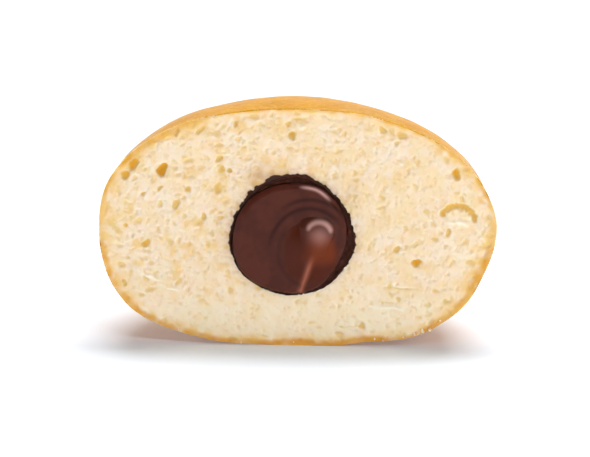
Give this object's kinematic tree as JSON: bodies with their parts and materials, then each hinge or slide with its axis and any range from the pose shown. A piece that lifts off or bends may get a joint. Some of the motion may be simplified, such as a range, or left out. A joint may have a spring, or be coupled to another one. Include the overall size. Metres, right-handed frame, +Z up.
{
  "type": "filled doughnut half",
  "caption": "Half of a round fried doughnut, cut through the middle, with open crumb and a pocket of glossy chocolate cream that stands out as a drooped dollop.",
  "frame": {"origin": "on the surface the half stands on, under the middle of its box", "axes": "+X to the right along the cut face, -Y out of the cut face, +Z up"},
  "size_m": [0.0858, 0.0488, 0.0532],
  "materials": {
    "dough": "matte",
    "chocolate_cream": "glossy"
  },
  "bodies": {
    "root": {"dough": "dough", "cream_filling": "chocolate_cream"}
  },
  "joints": []
}
